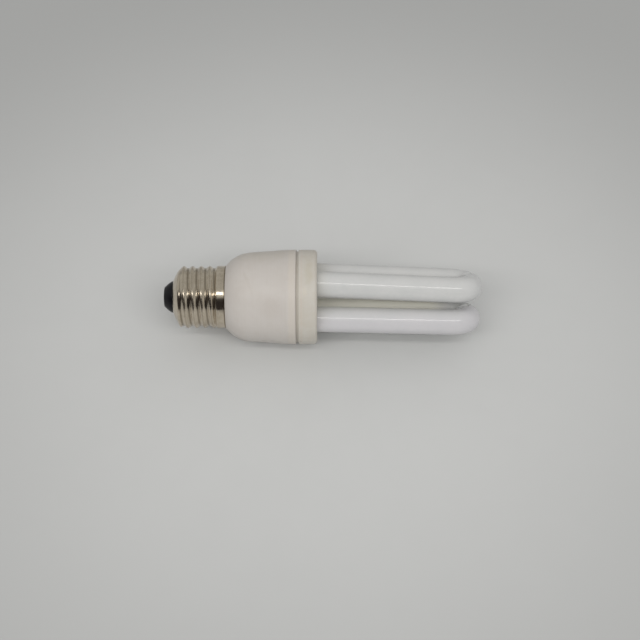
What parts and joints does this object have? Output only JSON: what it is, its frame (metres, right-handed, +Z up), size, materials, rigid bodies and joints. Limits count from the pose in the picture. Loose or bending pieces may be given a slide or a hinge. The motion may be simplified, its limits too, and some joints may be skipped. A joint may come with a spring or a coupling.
{
  "type": "compact fluorescent bulb",
  "caption": "Compact fluorescent bulb with a screw cap, a round ballast housing and two U-shaped glass tubes, lying on its side.",
  "frame": {"origin": "centre of the bounding box, on the surface that the bulb lies on", "axes": "+X along the bulb's axis from the screw cap to the glass tubes, +Z up from the surface, -Y towards the viewer"},
  "size_m": [0.1339, 0.0396, 0.0397],
  "materials": {
    "black_insulator": "gloss",
    "contact_metal": "satin",
    "solder": "satin",
    "plated_shell": "polished",
    "housing_plastic": "satin",
    "cover_plastic": "satin",
    "coated_glass": "gloss",
    "cement": "matte",
    "lamp_wire": "satin",
    "pin_metal": "satin",
    "board_laminate": "matte",
    "capacitor_sleeve": "satin",
    "ferrite": "matte",
    "bobbin_plastic": "matte",
    "copper": "satin",
    "black_resin": "satin",
    "trigger_glass": "gloss",
    "brown_dip": "gloss",
    "green_dip": "gloss",
    "resistor_coat": "satin",
    "fuse_coat": "matte",
    "sleeve_fibre": "matte",
    "tinned_wire": "satin"
  },
  "bodies": {
    "root": {"insulator": "black_insulator", "centre_contact": "contact_metal", "contact_solder": "solder", "screw_shell": "plated_shell", "housing": "housing_plastic", "tube_cover": "cover_plastic", "discharge_tube": "coated_glass", "cement_rings": "cement", "tube_leads": "lamp_wire", "wrap_pins": "pin_metal", "circuit_board": "board_laminate", "solder_joints": "solder", "filter_capacitor": "capacitor_sleeve", "choke_core": "ferrite", "choke_bobbin": "bobbin_plastic", "choke_winding": "copper", "feedback_ring": "ferrite", "feedback_windings": "copper", "transistors": "black_resin", "rectifier_diodes": "black_resin", "clamp_diodes": "black_resin", "trigger_diac": "trigger_glass", "resonant_capacitor": "brown_dip", "coupling_capacitor": "green_dip", "start_capacitor": "green_dip", "resistors": "resistor_coat", "fuse_resistor": "fuse_coat", "fuse_sleeve": "sleeve_fibre", "live_lead": "tinned_wire", "neutral_lead": "tinned_wire"}
  },
  "joints": []
}
